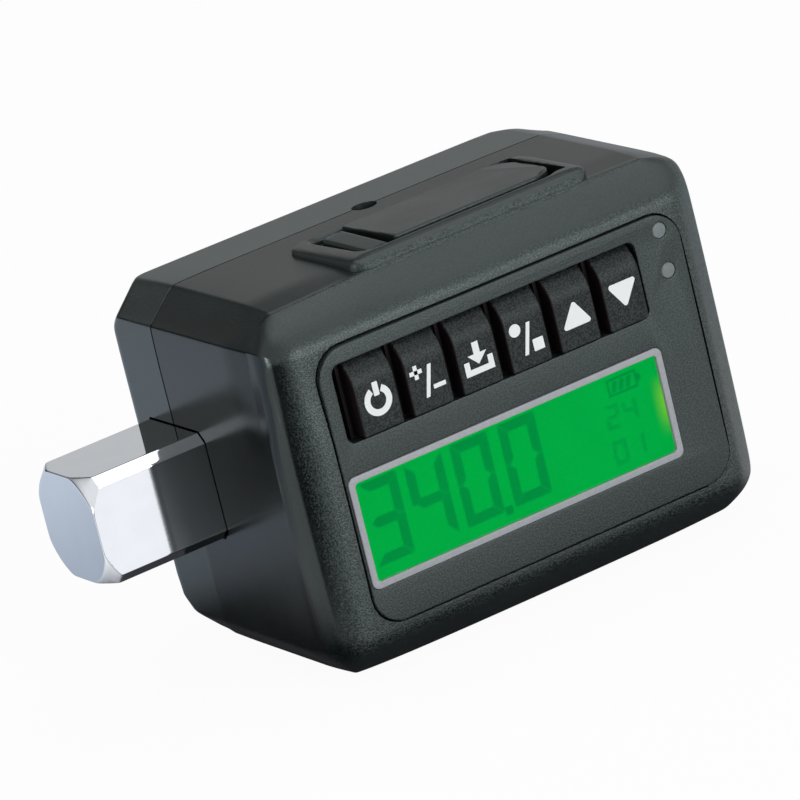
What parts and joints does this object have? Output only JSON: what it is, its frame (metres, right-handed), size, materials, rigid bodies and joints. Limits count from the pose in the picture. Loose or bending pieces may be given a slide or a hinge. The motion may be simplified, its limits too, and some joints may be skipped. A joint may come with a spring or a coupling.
{
  "type": "digital torque adapter",
  "caption": "Bevelled plastic case on a through shaft, with a male square drive at one end, a square socket at the other, a lit display, a row of keys and a hinged battery door.",
  "frame": {"origin": "centre of the box in plan, at the height of the case's flat underside, for the part lying as in the picture", "axes": "+X along the drive axis from the male square to the socket, -Y out of the display, +Z out of the battery door"},
  "size_m": [0.076, 0.0418, 0.0449],
  "materials": {
    "shell": "fine grained, satin",
    "panel": "fine grained, matt",
    "border": "satin silver-grey print",
    "lens": "clear, polished",
    "display": "lit green, smooth",
    "light_guide": "smooth",
    "rubber_strip": "smooth",
    "key": "fine grained, matt",
    "mat": "matt",
    "spring_metal": "bright",
    "light_pipe": "smoky, smooth",
    "led": "smooth",
    "board": "solder resist",
    "chip": "matt",
    "can": "bright",
    "cell_metal": "bright nickel",
    "cradle": "matt",
    "contact": "bright",
    "latch": "fine grained, satin",
    "chrome_steel": "satin chrome plate",
    "gauge_film": "smooth film",
    "bush": "smooth",
    "screw_bright": "bright",
    "screw_dark": "blackened",
    "seal": "smooth",
    "ball_steel": "polished"
  },
  "bodies": {
    "case": {"front_shell": "shell", "rear_shell": "shell", "front_panel": "panel", "lens_border": "border", "lcd_lens": "lens", "lcd_cell": "display", "lcd_backlight": "light_guide", "zebra_strips": "rubber_strip", "keypad_mat": "mat", "dome_switches": "spring_metal", "light_pipes": "light_pipe", "indicator_leds": "led", "main_board": "board", "board_screws": "screw_bright", "controller_chip": "chip", "amplifier_chip": "chip", "board_capacitors": "can", "buzzer": "chip", "battery_cells": "cell_metal", "battery_cradle": "cradle", "contact_plate": "contact", "contact_spring": "contact", "hinge_pin": "screw_bright", "torque_shaft": "chrome_steel", "strain_gauges": "gauge_film", "sensor_lead": "gauge_film", "drive_bush": "bush", "socket_bush": "bush", "retaining_ring": "screw_dark", "shaft_seal": "seal", "detent_spring": "spring_metal", "case_screws": "screw_dark"},
    "clear_key": {"clear_key": "key"},
    "unit_key": {"unit_key": "key"},
    "memory_key": {"memory_key": "key"},
    "mode_key": {"mode_key": "key"},
    "up_key": {"up_key": "key"},
    "down_key": {"down_key": "key"},
    "door": {"battery_door": "shell"},
    "latch": {"door_latch": "latch"},
    "ball": {"detent_ball": "ball_steel"}
  },
  "joints": [
    {"name": "clear_key_press", "type": "slide", "parent": "case", "child": "clear_key", "axis": [0, 1, 0], "range_m": [0, 0.0005], "stiffness_N_per_m": 2000, "springref_m": -0.0003},
    {"name": "unit_key_press", "type": "slide", "parent": "case", "child": "unit_key", "axis": [0, 1, 0], "range_m": [0, 0.0005], "stiffness_N_per_m": 2000, "springref_m": -0.0003},
    {"name": "memory_key_press", "type": "slide", "parent": "case", "child": "memory_key", "axis": [0, 1, 0], "range_m": [0, 0.0005], "stiffness_N_per_m": 2000, "springref_m": -0.0003},
    {"name": "mode_key_press", "type": "slide", "parent": "case", "child": "mode_key", "axis": [0, 1, 0], "range_m": [0, 0.0005], "stiffness_N_per_m": 2000, "springref_m": -0.0003},
    {"name": "up_key_press", "type": "slide", "parent": "case", "child": "up_key", "axis": [0, 1, 0], "range_m": [0, 0.0005], "stiffness_N_per_m": 2000, "springref_m": -0.0003},
    {"name": "down_key_press", "type": "slide", "parent": "case", "child": "down_key", "axis": [0, 1, 0], "range_m": [0, 0.0005], "stiffness_N_per_m": 2000, "springref_m": -0.0003},
    {"name": "door_hinge", "type": "hinge", "parent": "case", "child": "door", "pos_m": [0.02165, -0.00635, 0.04335], "axis": [0, 1, 0], "range_deg": [0, 95]},
    {"name": "latch_slide", "type": "slide", "parent": "door", "child": "latch", "axis": [1, 0, 0], "range_m": [0, 0.0007], "stiffness_N_per_m": 600, "springref_m": -0.0015},
    {"name": "ball_press", "type": "slide", "parent": "case", "child": "ball", "axis": [0, 0, 1], "range_m": [0, 0.00105], "stiffness_N_per_m": 3000, "springref_m": -0.0015, "deforming": ["detent_spring"]}
  ]
}
